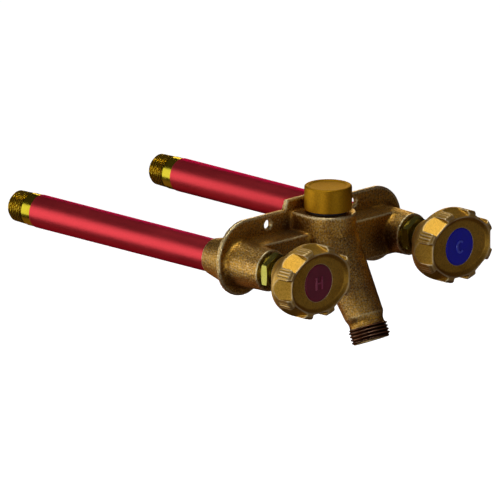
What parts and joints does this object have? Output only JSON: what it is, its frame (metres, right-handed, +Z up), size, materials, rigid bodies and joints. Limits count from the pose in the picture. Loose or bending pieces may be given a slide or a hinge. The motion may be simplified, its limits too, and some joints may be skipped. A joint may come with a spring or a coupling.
{
  "type": "frost free sillcock",
  "caption": "Hot and cold frost free sillcock: cast flange body, long tubes to pipe-threaded inlets, oval lobed handles, vacuum breaker cap and slanted hose spout.",
  "frame": {"origin": "on the wall face of the flange, midway between the two tubes, at the height of the tube axes", "axes": "+X from the hot side to the cold side, +Y into the wall along the tubes, +Z up"},
  "size_m": [0.1924, 0.2812, 0.103],
  "materials": {
    "cast_brass": "sand cast, fine grain",
    "machined_brass": "turned",
    "fitting_brass": "bright turned brass",
    "nut_brass": "bright plated",
    "handle_bronze": "smooth bronze coloured casting",
    "cap_bronze": "smooth satin",
    "tube_red": "satin crimson",
    "hot_button": "plum red",
    "cold_button": "saturated blue",
    "rubber": "matte",
    "packing": "graphite",
    "white_plastic": "moulded",
    "steel": "stainless"
  },
  "bodies": {
    "housing": {"body_casting": "cast_brass", "vacuum_breaker_bonnet": "machined_brass", "vacuum_breaker_ring": "rubber", "vacuum_breaker_cap": "cap_bronze", "hot_tube": "tube_red", "hot_inlet_fitting": "fitting_brass", "hot_stem_bush": "machined_brass", "hot_packing_washer": "machined_brass", "hot_packing": "packing", "hot_packing_nut": "nut_brass", "cold_tube": "tube_red", "cold_inlet_fitting": "fitting_brass", "cold_stem_bush": "machined_brass", "cold_packing_washer": "machined_brass", "cold_packing": "packing", "cold_packing_nut": "nut_brass"},
    "poppet": {"vacuum_poppet": "white_plastic", "vacuum_inlet_seal": "rubber", "vacuum_vent_seal": "rubber", "vacuum_spring": "steel"},
    "hot_plunger_body": {"hot_plunger": "machined_brass", "hot_swivel_pins": "steel", "hot_seat_washer": "rubber", "hot_washer_screw": "machined_brass"},
    "hot_stem_body": {"hot_stem": "machined_brass", "hot_operating_rod": "machined_brass", "hot_handle": "handle_bronze", "hot_handle_screw": "steel", "hot_index_button": "hot_button"},
    "cold_plunger_body": {"cold_plunger": "machined_brass", "cold_swivel_pins": "steel", "cold_seat_washer": "rubber", "cold_washer_screw": "machined_brass"},
    "cold_stem_body": {"cold_stem": "machined_brass", "cold_operating_rod": "machined_brass", "cold_handle": "handle_bronze", "cold_handle_screw": "steel", "cold_index_button": "cold_button"}
  },
  "joints": [
    {"name": "hot_lift", "type": "slide", "parent": "housing", "child": "hot_plunger_body", "axis": [0, -1, 0], "range_m": [0, 0.0051]},
    {"name": "hot_turn", "type": "hinge", "parent": "hot_plunger_body", "child": "hot_stem_body", "pos_m": [-0.06525, 0, 0], "axis": [0, -1, 0], "range_deg": [0, 720]},
    {"name": "cold_lift", "type": "slide", "parent": "housing", "child": "cold_plunger_body", "axis": [0, -1, 0], "range_m": [0, 0.0051]},
    {"name": "cold_turn", "type": "hinge", "parent": "cold_plunger_body", "child": "cold_stem_body", "pos_m": [0.06525, 0, 0], "axis": [0, -1, 0], "range_deg": [0, 720]},
    {"name": "vent_lift", "type": "slide", "parent": "housing", "child": "poppet", "axis": [0, 0, 1], "range_m": [0, 0.003], "stiffness_N_per_m": 20, "springref_m": -0.01, "deforming": ["vacuum_spring"]}
  ],
  "couplings": [
    {"joint": "hot_lift", "follows": "hot_turn", "m_per_rad": 0.00040425},
    {"joint": "cold_lift", "follows": "cold_turn", "m_per_rad": 0.00040425}
  ]
}
